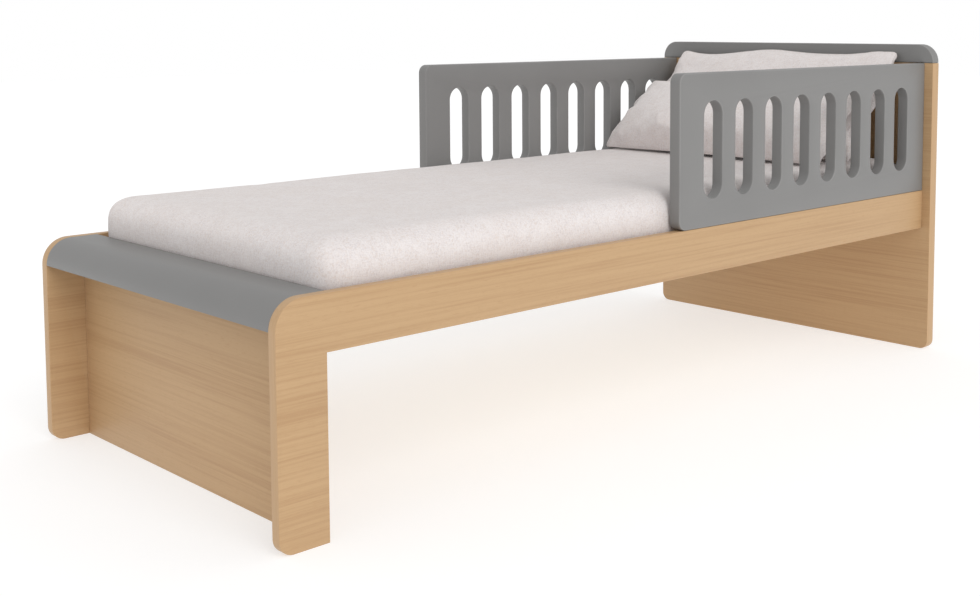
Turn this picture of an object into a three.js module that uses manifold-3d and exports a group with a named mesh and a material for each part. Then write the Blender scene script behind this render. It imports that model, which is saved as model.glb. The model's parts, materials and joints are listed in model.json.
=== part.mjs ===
// Toddler bed: two L-shaped wooden side panels, a low foot end with a rounded grey cap, a tall
// headboard with a grey top, slotted grey guard rails on the head half, a slatted base, a covered
// mattress and two pillows.
// Millimetres, +Z up, +X towards the head, left is +Y. The origin is on the floor, under the middle.

import * as THREE from "three";
import { mergeVertices } from "three/addons/utils/BufferGeometryUtils.js";
import { RoundedBoxGeometry } from "three/addons/geometries/RoundedBoxGeometry.js";
import Module from "manifold-3d";

const wasm = await Module();
wasm.setup();

// ---- Driving dimensions ----

// The mattress that the bed is made for, with its cover on.
const mattressLength = 1600;
const mattressWidth = 700;
const mattressHeight = 110;
const mattressRadius = 40;
const mattressSideGap = 3;
const mattressFootGap = 3;
const mattressHeadGap = 12;
const coverThickness = 1.2;
const coverHem = 90;

// Boards.
const sidePanelThickness = 18;
const sidePanelHeight = 365;
const railHeight = 86;
const legWidth = 85;
const legFootRadius = 24;
const footboardThickness = 18;
const footboardRecess = 69;
const capDepth = 95;
const capHeight = 46;
const headboardThickness = 25;
const headboardOverhang = 20;
const headboardFootRadius = 20;
const headboardTopHeight = 42;
const headboardTopRadius = 40;
const guardThickness = 25;
const guardLength = 852;
const guardHeight = 289;
const guardRadius = 18;

// Slots in the guard rails, spread evenly along them.
const slotCount = 8;
const slotWidth = 54;
const slotHeight = 184;
const slotEndMargin = 70;

// Slatted base.
const baseDepth = 40;
const slatCount = 13;
const slatWidth = 68;
const slatThickness = 12;
const slatSideGap = 2;
const slatEndGap = 27;
const ledgerThickness = 20;
const ledgerHeight = 30;
const ledgerEndGap = 3;

// Pillows, as they lie: the rear one leans on the headboard, the front one on the rear one.
const rearPillowSideRoom = 34;
const rearPillowLength = 306;
const rearPillowTilt = THREE.MathUtils.degToRad(50);
const rearPillowFrontCrown = 34;
const rearPillowBackCrown = 46;
const frontPillowSideRoom = 35;
const frontPillowLength = 254;
const frontPillowFrontCrown = 58;
const frontPillowBackCrown = 9;
const frontPillowRest = 166;
const rearPillowTopGap = 10;
const pillowEdge = 4;
const pillowPullIn = 12;
const pillowGap = 1;

// Fittings: M6 connecting bolts with barrel nuts, cam fittings and wooden dowels.
const boltRadius = 3;
const boltLength = 60;
const boltHeadRadius = 8;
const boltHeadHeight = 3;
const hexKeyRadius = 2.3;
const hexKeyDepth = 2;
const boltGrip = 34;
const guardBoltEndMargin = 42;
const guardBoltGrip = 28;
const guardBoltTip = 8;
const barrelRadius = 5;
const barrelLength = 12;
const railBoltSpacing = 44;
const guardHeadBoltHeight = 130;
const dowelRadius = 4;
const dowelLength = 40;
const guardDowelInsets = [290, 560];
const capDowelSpread = 440;
const topDowelSpread = 500;
const capDowelReach = 15;
const camRadius = 7.5;
const camHeight = 12;
const camInset = 24;
const camEndMargin = 59;
const camPinRadius = 3;
const camPinNeckRadius = 2.4;
const camPinHeadRadius = 3.4;
const camPinHeadHeight = 2.5;
const camPinSocket = 10;

// Clearances.
const jointGap = 0.3;
const boreGap = 0.4;
const overcut = 1;

// ---- Sizes that follow from them ----

const frameWidth = mattressWidth + 2 * (mattressSideGap + guardThickness);
const halfWidth = frameWidth / 2;
const innerHalfWidth = halfWidth - sidePanelThickness;
const mattressFoot = capDepth + mattressFootGap;
const headboardFace = mattressFoot + mattressLength + mattressHeadGap;
const overallLength = headboardFace + headboardThickness;
const headboardHalfWidth = halfWidth + headboardOverhang;
const railUnderside = sidePanelHeight - railHeight;
const capUnderside = sidePanelHeight - capHeight;
const footboardBack = footboardRecess + footboardThickness;
const camHeights = [camEndMargin, capUnderside - camEndMargin];
const guardUnderside = sidePanelHeight + jointGap;
const guardTop = sidePanelHeight + guardHeight;
const guardFoot = headboardFace - guardLength;
const slatTop = sidePanelHeight - baseDepth;
const ledgerTop = slatTop - slatThickness;
const mattressTop = slatTop + mattressHeight;
const rearPillowWidth = mattressWidth - 2 * rearPillowSideRoom;
const frontPillowWidth = mattressWidth - 2 * frontPillowSideRoom;
const railMiddle = sidePanelHeight - railHeight / 2;
const sidePanelMiddle = halfWidth - sidePanelThickness / 2;
const guardMiddle = halfWidth - guardThickness / 2;
const guardInner = halfWidth - guardThickness;
const footboardMiddle = footboardRecess + footboardThickness / 2;
const headboardMiddle = headboardFace + headboardThickness / 2;

const sides = { left: 1, right: -1 };

// ---- Materials ----

const finishes = {
  oak: [0xcbaa82, 0.55, 0],
  grey: [0x8e8d8b, 0.42, 0],
  pine: [0xd8b98c, 0.7, 0],
  fabric: [0xd6d0c9, 0.95, 0],
  foam: [0xeee8d6, 0.95, 0],
  steel: [0xb4b6b8, 0.35, 1],
  beech: [0xd9b384, 0.7, 0],
};

function finish(name) {
  const [color, roughness, metalness] = finishes[name];
  return new THREE.MeshStandardMaterial({ color, roughness, metalness });
}

// ---- Geometry helpers ----

function bare(geometry) {
  const copy = geometry.clone();
  copy.deleteAttribute("normal");
  copy.deleteAttribute("uv");
  return mergeVertices(copy, 1e-3);
}

function toSolid(geometry) {
  const merged = bare(geometry);
  return new wasm.Manifold(
    new wasm.Mesh({
      numProp: 3,
      vertProperties: merged.attributes.position.array,
      triVerts: new Uint32Array(merged.index.array),
    }),
  );
}

function toGeometry(solid) {
  const mesh = solid.getMesh();
  const geometry = new THREE.BufferGeometry();
  geometry.setAttribute("position", new THREE.BufferAttribute(mesh.vertProperties, 3));
  geometry.setIndex(new THREE.BufferAttribute(mesh.triVerts, 1));
  geometry.computeVertexNormals();
  return geometry;
}

function cut(geometry, cutters) {
  let solid = toSolid(geometry);
  for (const cutter of cutters) {
    solid = solid.subtract(toSolid(cutter));
  }
  return toGeometry(solid);
}

// A closed outline through corners [x, y, radius], given anticlockwise.
function outline(corners) {
  const path = new THREE.Shape();
  corners.forEach(([x, y, radius = 0], i) => {
    const corner = new THREE.Vector2(x, y);
    const [lastX, lastY] = corners[(i + corners.length - 1) % corners.length];
    const [nextX, nextY] = corners[(i + 1) % corners.length];
    const back = new THREE.Vector2(lastX, lastY).sub(corner).normalize();
    const onward = new THREE.Vector2(nextX, nextY).sub(corner).normalize();
    if (radius > 0) {
      const halfAngle = Math.acos(back.dot(onward)) / 2;
      const centre = back.clone().add(onward).normalize();
      centre.multiplyScalar(radius / Math.sin(halfAngle)).add(corner);
      const reach = radius / Math.tan(halfAngle);
      const start = corner.clone().addScaledVector(back, reach).sub(centre);
      const end = corner.clone().addScaledVector(onward, reach).sub(centre);
      const clockwise = back.cross(onward) > 0;
      path.absarc(centre.x, centre.y, radius, start.angle(), end.angle(), clockwise);
    } else if (i === 0) {
      path.moveTo(x, y);
    } else {
      path.lineTo(x, y);
    }
  });
  return path;
}

const boardExtrusion = { bevelEnabled: false, curveSegments: 8 };

// A board whose outline lies in X and Z, from yLow to yLow + thickness.
function uprightBoard(shape, yLow, thickness) {
  const geometry = new THREE.ExtrudeGeometry(shape, { ...boardExtrusion, depth: thickness });
  geometry.rotateX(Math.PI / 2);
  geometry.translate(0, yLow + thickness, 0);
  return geometry;
}

// A board whose outline lies in Y and Z, from xLow to xLow + thickness.
function crossBoard(shape, xLow, thickness) {
  const geometry = new THREE.ExtrudeGeometry(shape, { ...boardExtrusion, depth: thickness });
  geometry.rotateX(Math.PI / 2);
  geometry.rotateZ(Math.PI / 2);
  geometry.translate(xLow, 0, 0);
  return geometry;
}

function block([xLow, yLow, zLow], [xHigh, yHigh, zHigh]) {
  const geometry = new THREE.BoxGeometry(xHigh - xLow, yHigh - yLow, zHigh - zLow);
  geometry.translate((xLow + xHigh) / 2, (yLow + yHigh) / 2, (zLow + zHigh) / 2);
  return geometry;
}

// A round bar from one point to another.
function bar(from, to, radius, facets = 16) {
  const start = new THREE.Vector3(...from);
  const end = new THREE.Vector3(...to);
  const along = end.clone().sub(start);
  const geometry = new THREE.CylinderGeometry(radius, radius, along.length(), facets);
  const turn = new THREE.Quaternion();
  turn.setFromUnitVectors(new THREE.Vector3(0, 1, 0), along.clone().normalize());
  geometry.applyQuaternion(turn);
  const middle = start.add(end).multiplyScalar(0.5);
  geometry.translate(middle.x, middle.y, middle.z);
  return geometry;
}

// A side board's place across the bed, from its inner to its outer face, as [yLow, thickness].
function sideSpan(side, inner, outer) {
  return [Math.min(side * inner, side * outer), outer - inner];
}

// ---- Fittings ----

// A connecting bolt along +X with its head's outer face at x = 0.
function boltGeometry(length) {
  const profile = [
    [0, 0],
    [boltHeadRadius, 0],
    [boltHeadRadius, boltHeadHeight],
    [boltRadius, boltHeadHeight],
    [boltRadius, length],
    [0, length],
  ].map(([x, y]) => new THREE.Vector2(x, y));
  const turned = new THREE.LatheGeometry(profile, 16);
  const keyHole = bar([0, -overcut, 0], [0, hexKeyDepth, 0], hexKeyRadius, 6);
  const geometry = cut(turned, [keyHole]);
  geometry.rotateZ(-Math.PI / 2);
  return geometry;
}

// A barrel nut along Y with its thread along X.
function barrelNutGeometry() {
  const half = barrelLength / 2;
  const barrel = bar([0, -half, 0], [0, half, 0], barrelRadius);
  const reach = barrelRadius + overcut;
  return cut(barrel, [bar([-reach, 0, 0], [reach, 0, 0], boltRadius + jointGap)]);
}

// A cam along X with its socket opening towards +Y.
function camGeometry() {
  const half = camHeight / 2;
  const body = bar([-half, 0, 0], [half, 0, 0], camRadius, 24);
  const socketFloor = -camPinHeadRadius;
  const socketRadius = camPinHeadRadius + boreGap;
  const socket = bar([0, socketFloor, 0], [0, camRadius + overcut, 0], socketRadius);
  return cut(body, [socket]);
}

// A cam pin along +Y: its head at y = 0, its threaded end at y = length.
function camPinGeometry(length) {
  const profile = [
    [0, 0],
    [camPinHeadRadius, 0],
    [camPinHeadRadius, camPinHeadHeight],
    [camPinNeckRadius, camPinHeadHeight],
    [camPinNeckRadius, length - camPinSocket],
    [camPinRadius, length - camPinSocket],
    [camPinRadius, length],
    [0, length],
  ].map(([x, y]) => new THREE.Vector2(x, y));
  return new THREE.LatheGeometry(profile, 16);
}

const boltHoleRadius = boltRadius + boreGap;
const headRecessRadius = boltHeadRadius + boreGap;
const barrelHoleRadius = barrelRadius + boreGap;
const dowelHoleRadius = dowelRadius + boreGap;
const guardBoltLength = railHeight + guardBoltGrip + guardBoltTip - boltHeadHeight;

// Where the bolts cross from the headboard into the rails and guard rails, and where the nuts sit.
const railBoltHeights = [railMiddle - railBoltSpacing / 2, railMiddle + railBoltSpacing / 2];
const guardBoltHeight = sidePanelHeight + guardHeadBoltHeight;
const boltHeadSeat = overallLength - boltHeadHeight - boreGap;
const boltTip = boltHeadSeat + boltHeadHeight - boltLength;
const barrelX = headboardFace - boltGrip;
const guardBoltX = guardFoot + guardBoltEndMargin;
const guardBarrelZ = sidePanelHeight + guardBoltGrip;
const guardDowels = guardDowelInsets.map((inset) => guardFoot + inset);
const camX = footboardBack - camHeight / 2 - jointGap;
const camY = innerHalfWidth - camInset;

// ---- Holes ----

function barrelHole(side, x, z, innerFace, middle) {
  const floor = middle + barrelLength / 2 + jointGap;
  return bar([x, side * (innerFace - overcut), z], [x, side * floor, z], barrelHoleRadius);
}

function headBoltHole(y, z) {
  return bar([boltTip - overcut, y, z], [headboardFace + overcut, y, z], boltHoleRadius);
}

function dowelHole(x, y, zJoint, reachUp, reachDown) {
  const low = [x, y, zJoint - reachDown - jointGap];
  const high = [x, y, zJoint + reachUp + jointGap];
  return bar(low, high, dowelHoleRadius, 12);
}

// ---- Wooden and grey boards ----

function sidePanel(side) {
  const shape = outline([
    [0, 0, legFootRadius],
    [legWidth, 0],
    [legWidth, railUnderside],
    [headboardFace - jointGap, railUnderside],
    [headboardFace - jointGap, sidePanelHeight],
    [0, sidePanelHeight, capHeight],
  ]);
  const board = uprightBoard(shape, ...sideSpan(side, innerHalfWidth, halfWidth));
  const middle = side * sidePanelMiddle;
  const counterboreTop = railUnderside + boltHeadHeight + 2 * boreGap;
  const holes = [
    ...railBoltHeights.map((z) => headBoltHole(middle, z)),
    ...railBoltHeights.map((z) =>
      barrelHole(side, barrelX, z, innerHalfWidth, sidePanelMiddle),
    ),
    bar(
      [guardBoltX, middle, railUnderside - overcut],
      [guardBoltX, middle, sidePanelHeight + overcut],
      boltHoleRadius,
    ),
    bar(
      [guardBoltX, middle, railUnderside - overcut],
      [guardBoltX, middle, counterboreTop],
      headRecessRadius,
    ),
    ...guardDowels.map((x) =>
      dowelHole(x, middle, sidePanelHeight, dowelLength / 2, dowelLength / 2),
    ),
    ...camHeights.map((z) => {
      const floor = side * (innerHalfWidth + camPinSocket + 2 * jointGap);
      const mouth = side * (innerHalfWidth - overcut);
      return bar([camX, mouth, z], [camX, floor, z], camPinRadius + boreGap);
    }),
  ];
  return cut(board, holes);
}

function footboard() {
  const half = innerHalfWidth - jointGap;
  const shape = outline([
    [-half, 0],
    [half, 0],
    [half, capUnderside - jointGap],
    [-half, capUnderside - jointGap],
  ]);
  const board = crossBoard(shape, footboardRecess, footboardThickness);
  const holes = [];
  for (const side of Object.values(sides)) {
    for (const z of camHeights) {
      const recess = camX - camHeight / 2 - jointGap;
      const centre = side * camY;
      holes.push(
        bar([recess, centre, z], [footboardBack + overcut, centre, z], camRadius + boreGap, 24),
      );
      const mouth = side * (innerHalfWidth + overcut);
      holes.push(bar([camX, centre, z], [camX, mouth, z], camPinHeadRadius + boreGap));
    }
    const y = (side * capDowelSpread) / 2;
    const down = dowelLength - capDowelReach;
    holes.push(dowelHole(footboardMiddle, y, capUnderside, overcut, down));
  }
  return cut(board, holes);
}

function footCap() {
  const shape = outline([
    [0, capUnderside],
    [capDepth, capUnderside],
    [capDepth, sidePanelHeight],
    [0, sidePanelHeight, capHeight - jointGap],
  ]);
  const half = innerHalfWidth - jointGap;
  const board = uprightBoard(shape, -half, 2 * half);
  const holes = Object.values(sides).map((side) =>
    dowelHole(footboardMiddle, (side * capDowelSpread) / 2, capUnderside, capDowelReach, overcut),
  );
  return cut(board, holes);
}

function headboard() {
  const half = headboardHalfWidth;
  const shape = outline([
    [-half, 0, headboardFootRadius],
    [half, 0, headboardFootRadius],
    [half, guardTop],
    [-half, guardTop],
  ]);
  const board = crossBoard(shape, headboardFace, headboardThickness);
  const holes = [];
  for (const side of Object.values(sides)) {
    const bolts = railBoltHeights.map((z) => [side * sidePanelMiddle, z]);
    bolts.push([side * guardMiddle, guardBoltHeight]);
    for (const [y, z] of bolts) {
      const back = overallLength + overcut;
      holes.push(bar([headboardFace - overcut, y, z], [back, y, z], boltHoleRadius));
      holes.push(bar([boltHeadSeat - jointGap, y, z], [back, y, z], headRecessRadius));
    }
    const y = (side * topDowelSpread) / 2;
    holes.push(dowelHole(headboardMiddle, y, guardTop, overcut, dowelLength / 2));
  }
  return cut(board, holes);
}

function headboardTop() {
  const half = headboardHalfWidth;
  const shape = outline([
    [-half, guardTop + jointGap],
    [half, guardTop + jointGap],
    [half, guardTop + headboardTopHeight, headboardTopRadius],
    [-half, guardTop + headboardTopHeight, headboardTopRadius],
  ]);
  const board = crossBoard(shape, headboardFace, headboardThickness);
  const holes = Object.values(sides).map((side) =>
    dowelHole(headboardMiddle, (side * topDowelSpread) / 2, guardTop, dowelLength / 2, overcut),
  );
  return cut(board, holes);
}

// An upright slot with round ends, for a guard rail's outline.
function slotPath(x) {
  const radius = slotWidth / 2;
  const middle = (guardUnderside + guardTop) / 2;
  const straight = slotHeight / 2 - radius;
  const path = new THREE.Path();
  path.absarc(x, middle + straight, radius, 0, Math.PI, false);
  path.absarc(x, middle - straight, radius, Math.PI, 2 * Math.PI, false);
  path.closePath();
  return path;
}

function guardRail(side) {
  const head = headboardFace - jointGap;
  const shape = outline([
    [guardFoot, guardUnderside, guardRadius],
    [head, guardUnderside],
    [head, guardTop],
    [guardFoot, guardTop, guardRadius],
  ]);
  const firstSlot = guardFoot + slotEndMargin + slotWidth / 2;
  const lastSlot = headboardFace - slotEndMargin - slotWidth / 2;
  const pitch = (lastSlot - firstSlot) / (slotCount - 1);
  for (let i = 0; i < slotCount; i += 1) {
    shape.holes.push(slotPath(firstSlot + i * pitch));
  }
  const board = uprightBoard(shape, ...sideSpan(side, guardInner, halfWidth));
  const boltY = side * sidePanelMiddle;
  const boltHoleTop = guardBarrelZ + guardBoltTip + jointGap;
  const holes = [
    headBoltHole(side * guardMiddle, guardBoltHeight),
    barrelHole(side, barrelX, guardBoltHeight, guardInner, guardMiddle),
    bar([guardBoltX, boltY, sidePanelHeight - overcut], [guardBoltX, boltY, boltHoleTop],
      boltHoleRadius),
    barrelHole(side, guardBoltX, guardBarrelZ, guardInner, sidePanelMiddle),
    ...guardDowels.map((x) =>
      dowelHole(x, boltY, sidePanelHeight, dowelLength / 2, dowelLength / 2),
    ),
  ];
  return cut(board, holes);
}

// ---- Slatted base ----

function ledger(side) {
  const face = innerHalfWidth - jointGap;
  const [yLow, thickness] = sideSpan(side, face - ledgerThickness, face);
  const foot = footboardBack + ledgerEndGap;
  const head = headboardFace - ledgerEndGap;
  return block(
    [foot, yLow, ledgerTop - ledgerHeight],
    [head, yLow + thickness, ledgerTop - jointGap],
  );
}

function slat(index) {
  const first = footboardBack + slatEndGap;
  const last = headboardFace - slatEndGap - slatWidth;
  const x = first + (index * (last - first)) / (slatCount - 1);
  const half = innerHalfWidth - slatSideGap;
  return block([x, -half, ledgerTop], [x + slatWidth, half, slatTop - jointGap]);
}

// ---- Mattress and pillows ----

function mattressBlock(inset, segments) {
  const geometry = new RoundedBoxGeometry(
    mattressLength - 2 * inset,
    mattressWidth - 2 * inset,
    mattressHeight - 2 * inset,
    segments,
    mattressRadius - inset,
  );
  const x = mattressFoot + mattressLength / 2;
  geometry.translate(x, 0, slatTop + mattressHeight / 2);
  return geometry;
}

// The cover goes over the top and sides and turns under the edges, open beneath.
function mattressCover() {
  const lining = mattressBlock(coverThickness, 2);
  const head = mattressFoot + mattressLength;
  const mouth = block(
    [mattressFoot + coverHem, -mattressWidth / 2 + coverHem, slatTop - overcut],
    [head - coverHem, mattressWidth / 2 - coverHem, slatTop + mattressHeight / 2],
  );
  return cut(mattressBlock(0, 3), [lining, mouth]);
}

function mattressCore() {
  return mattressBlock(coverThickness + jointGap, 2);
}

// How full a pillow is at a share along and a share across it, each from -1 to 1.
function fullness(along, across) {
  const sideways = Math.sqrt(Math.max(0, 1 - across ** 4));
  return Math.sqrt(Math.max(0, 1 - along ** 2)) * sideways;
}

// A pillow lying flat: its width along Y, its length along X from x = 0, its front face up.
function pillowGeometry(width, length, frontCrown, backCrown) {
  const geometry = new THREE.BoxGeometry(2, 2, 2, 8, 14, 1);
  const position = geometry.attributes.position;
  for (let i = 0; i < position.count; i += 1) {
    const along = position.getX(i);
    const across = position.getY(i);
    const up = position.getZ(i) > 0;
    const crown = pillowEdge + (up ? frontCrown : backCrown) * fullness(along, across);
    const endPull = pillowPullIn * along * (1 - across ** 2);
    const sidePull = pillowPullIn * across * (1 - along ** 2);
    position.setXYZ(
      i,
      ((1 + along) * length) / 2 - endPull,
      (across * width) / 2 - sidePull,
      up ? crown : -crown,
    );
  }
  geometry.computeVertexNormals();
  return geometry;
}

const pillowSeat = mattressTop + pillowEdge + pillowGap;
const rearPillowFoot =
  headboardFace - rearPillowTopGap - rearPillowLength * Math.cos(rearPillowTilt);

// Where the front pillow's upper edge rests on the rear pillow's front.
const restShare = (2 * frontPillowRest) / rearPillowLength - 1;
const restCrown = rearPillowFrontCrown * fullness(restShare, 0) + 2 * pillowEdge + pillowGap;
const restX =
  rearPillowFoot +
  frontPillowRest * Math.cos(rearPillowTilt) -
  restCrown * Math.sin(rearPillowTilt);
const restRise =
  frontPillowRest * Math.sin(rearPillowTilt) + restCrown * Math.cos(rearPillowTilt);
const frontPillowTilt = Math.asin(restRise / frontPillowLength);
const frontPillowFoot = restX - frontPillowLength * Math.cos(frontPillowTilt);

// ---- Assembly ----

const bed = new THREE.Group();
bed.position.x = -overallLength / 2;

function add(name, geometry, finishName, place = [0, 0, 0], turn = [0, 0, 0]) {
  const mesh = new THREE.Mesh(geometry, finish(finishName));
  mesh.name = name;
  mesh.position.set(...place);
  mesh.rotation.set(...turn);
  bed.add(mesh);
}

add("footboard_panel", footboard(), "oak");
add("foot_cap", footCap(), "grey");
add("headboard_panel", headboard(), "oak");
add("headboard_top", headboardTop(), "grey");

const headBolt = boltGeometry(boltLength);
const guardBolt = boltGeometry(guardBoltLength);
const barrelNut = barrelNutGeometry();
const cam = camGeometry();
const camPin = camPinGeometry(camInset + camPinSocket);
const quarter = Math.PI / 2;

for (const [name, side] of Object.entries(sides)) {
  const panelY = side * sidePanelMiddle;
  const guardY = side * guardMiddle;
  const boltEnd = overallLength - boreGap;
  add(`${name}_side_panel`, sidePanel(side), "oak");
  add(`${name}_guard_rail`, guardRail(side), "grey");
  add(`${name}_slat_ledger`, ledger(side), "pine");

  ["lower", "upper"].forEach((level, i) => {
    const z = railBoltHeights[i];
    add(`${name}_${level}_rail_bolt`, headBolt, "steel", [boltEnd, panelY, z], [0, 0, Math.PI]);
    add(`${name}_${level}_rail_nut`, barrelNut, "steel", [barrelX, panelY, z]);
    const camPlace = [camX, side * camY, camHeights[i]];
    add(`${name}_${level}_cam`, cam, "steel", camPlace, [side > 0 ? 0 : Math.PI, 0, 0]);
    const pinPlace = [camX, side * (camY - camPinHeadHeight / 2), camHeights[i]];
    add(`${name}_${level}_cam_pin`, camPin, "steel", pinPlace, [side > 0 ? 0 : Math.PI, 0, 0]);
  });

  add(`${name}_guard_head_bolt`, headBolt, "steel", [boltEnd, guardY, guardBoltHeight],
    [0, 0, Math.PI]);
  add(`${name}_guard_head_nut`, barrelNut, "steel", [barrelX, guardY, guardBoltHeight]);
  add(`${name}_guard_foot_bolt`, guardBolt, "steel",
    [guardBoltX, panelY, railUnderside + boreGap], [0, -quarter, 0]);
  add(`${name}_guard_foot_nut`, barrelNut, "steel", [guardBoltX, panelY, guardBarrelZ],
    [0, quarter, 0]);

  ["foot", "head"].forEach((end, i) => {
    const reach = dowelLength / 2;
    const dowel = bar([0, 0, -reach], [0, 0, reach], dowelRadius, 12);
    const place = [guardDowels[i], panelY, sidePanelHeight];
    add(`${name}_guard_${end}_dowel`, dowel, "beech", place);
  });
  const capDowel = bar([0, 0, capDowelReach - dowelLength], [0, 0, capDowelReach],
    dowelRadius, 12);
  add(`${name}_cap_dowel`, capDowel, "beech",
    [footboardMiddle, (side * capDowelSpread) / 2, capUnderside]);
  const topDowel = bar([0, 0, -dowelLength / 2], [0, 0, dowelLength / 2], dowelRadius, 12);
  add(`${name}_top_dowel`, topDowel, "beech",
    [headboardMiddle, (side * topDowelSpread) / 2, guardTop]);
}

for (let i = 0; i < slatCount; i += 1) {
  add(`slat_${String(i + 1).padStart(2, "0")}`, slat(i), "pine");
}

add("mattress_cover", mattressCover(), "fabric");
add("mattress_core", mattressCore(), "foam");

const rearPillow = pillowGeometry(
  rearPillowWidth, rearPillowLength, rearPillowFrontCrown, rearPillowBackCrown,
);
add("rear_pillow", rearPillow, "fabric", [rearPillowFoot, 0, pillowSeat],
  [0, -rearPillowTilt, 0]);
const frontPillow = pillowGeometry(
  frontPillowWidth, frontPillowLength, frontPillowFrontCrown, frontPillowBackCrown,
);
add("front_pillow", frontPillow, "fabric", [frontPillowFoot, 0, pillowSeat],
  [0, -frontPillowTilt, 0]);

export default bed;
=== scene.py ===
import json
import math

import bmesh
import bpy
import numpy as np
from mathutils import Matrix, Vector, noise
from mathutils.bvhtree import BVHTree

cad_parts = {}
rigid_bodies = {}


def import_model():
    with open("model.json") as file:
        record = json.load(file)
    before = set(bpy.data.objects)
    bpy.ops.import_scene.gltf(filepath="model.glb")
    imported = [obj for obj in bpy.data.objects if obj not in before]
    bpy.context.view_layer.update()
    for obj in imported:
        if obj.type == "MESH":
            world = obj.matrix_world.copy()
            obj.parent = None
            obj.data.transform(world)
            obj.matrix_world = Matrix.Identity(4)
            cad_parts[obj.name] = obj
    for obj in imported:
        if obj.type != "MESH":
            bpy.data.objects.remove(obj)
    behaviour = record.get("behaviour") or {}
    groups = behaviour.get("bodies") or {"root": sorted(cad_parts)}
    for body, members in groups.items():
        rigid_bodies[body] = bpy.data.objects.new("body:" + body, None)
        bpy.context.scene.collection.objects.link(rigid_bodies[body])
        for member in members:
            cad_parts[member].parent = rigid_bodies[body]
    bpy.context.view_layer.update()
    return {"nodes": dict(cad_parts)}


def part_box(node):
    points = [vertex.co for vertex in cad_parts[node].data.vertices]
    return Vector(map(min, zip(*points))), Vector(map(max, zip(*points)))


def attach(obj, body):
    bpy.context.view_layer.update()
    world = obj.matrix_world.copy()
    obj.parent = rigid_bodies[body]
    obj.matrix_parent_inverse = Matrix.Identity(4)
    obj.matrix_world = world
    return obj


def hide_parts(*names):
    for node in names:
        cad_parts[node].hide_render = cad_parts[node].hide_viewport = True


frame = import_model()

nodes = frame["nodes"]
scene = bpy.context.scene
sides = {"left": 1, "right": -1}
mm = 0.001

print("camera, light and floor")

camera = {
    "place": (-1.8467, -1.9285, 0.7462),
    "yaw": 45.58, "pitch": -4.842, "roll": -0.121,
    "lens": 48.62, "shift": (-0.0663, -0.1663),
}
studio = {
    "background": 1.0, "worldStrength": 0.735,
    "floorColour": (0.50, 0.50, 0.50), "floorGlow": 0.57,
    "floorDrift": (0.52, 0.52, 0.52), "floorSize": 30.0,
    "keyDirection": (0.05, 0.30, -0.22), "keyStrength": 0.98, "keyAngle": 40,
}


def makeCamera(settings):
    data = bpy.data.cameras.new("camera")
    body = bpy.data.objects.new("camera", data)
    scene.collection.objects.link(body)
    yaw, pitch, roll = (math.radians(settings[k]) for k in ("yaw", "pitch", "roll"))
    forward = Vector((math.cos(yaw) * math.cos(pitch), math.sin(yaw) * math.cos(pitch),
                      math.sin(pitch)))
    body.rotation_mode = "QUATERNION"
    body.rotation_quaternion = (
        forward.to_track_quat("-Z", "Y") @ Matrix.Rotation(roll, 4, "Z").to_quaternion())
    body.location = settings["place"]
    data.sensor_width = 36
    data.lens = settings["lens"]
    data.shift_x, data.shift_y = settings["shift"]
    data.clip_end = 100
    scene.camera = body


def makeStudio(settings):
    world = bpy.data.worlds.new("studio")
    scene.world = world
    world.use_nodes = True
    tree = world.node_tree
    backdrop = tree.nodes["Background"]
    backdrop.inputs["Color"].default_value = (1, 1, 1, 1)
    backdrop.inputs["Strength"].default_value = settings["worldStrength"]
    seen = tree.nodes.new("ShaderNodeBackground")
    seen.inputs["Color"].default_value = (1, 1, 1, 1)
    seen.inputs["Strength"].default_value = settings["background"]
    path = tree.nodes.new("ShaderNodeLightPath")
    mix = tree.nodes.new("ShaderNodeMixShader")
    tree.links.new(path.outputs["Is Camera Ray"], mix.inputs[0])
    tree.links.new(backdrop.outputs[0], mix.inputs[1])
    tree.links.new(seen.outputs[0], mix.inputs[2])
    tree.links.new(mix.outputs[0], tree.nodes["World Output"].inputs["Surface"])

    sun = bpy.data.lights.new("key", "SUN")
    sun.energy = settings["keyStrength"]
    sun.angle = math.radians(settings["keyAngle"])
    lamp = bpy.data.objects.new("key", sun)
    lamp.rotation_mode = "QUATERNION"
    lamp.rotation_quaternion = Vector(settings["keyDirection"]).to_track_quat("-Z", "Y")
    scene.collection.objects.link(lamp)
    scene.view_settings.view_transform = "Standard"
    scene.view_settings.look = "None"


makeCamera(camera)
makeStudio(studio)


# Shader maths as plain expressions: a Socket adds the node that its operator names.
class Socket:
    def __init__(self, tree, link):
        self.tree = tree
        self.link = link

    def maths(self, operation, *values, clamp=False):
        node = self.tree.nodes.new("ShaderNodeMath")
        node.operation = operation
        node.use_clamp = clamp
        for slot, value in zip(node.inputs, values):
            connect(self.tree, value, slot)
        return Socket(self.tree, node.outputs[0])

    def __add__(self, other):
        return self.maths("ADD", self, other)

    def __radd__(self, other):
        return self.maths("ADD", other, self)

    def __sub__(self, other):
        return self.maths("SUBTRACT", self, other)

    def __rsub__(self, other):
        return self.maths("SUBTRACT", other, self)

    def __mul__(self, other):
        return self.maths("MULTIPLY", self, other)

    def __rmul__(self, other):
        return self.maths("MULTIPLY", other, self)

    def sine(self):
        return self.maths("SINE", self)

    def size(self):
        return self.maths("ABSOLUTE", self)

    def clamped(self):
        return self.maths("ADD", self, 0, clamp=True)

    def ramp(self, low, high):
        # 0 below low and 1 above high, smooth between them
        node = self.tree.nodes.new("ShaderNodeMapRange")
        node.interpolation_type = "SMOOTHSTEP"
        for name, value in (("Value", self), ("From Min", low), ("From Max", high)):
            connect(self.tree, value, node.inputs[name])
        return Socket(self.tree, node.outputs["Result"])


def connect(tree, value, slot):
    if isinstance(value, Socket):
        tree.links.new(value.link, slot)
    elif isinstance(value, (tuple, list)) and slot.type == "RGBA":
        slot.default_value = (*value[:3], 1)
    else:
        slot.default_value = value


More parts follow.
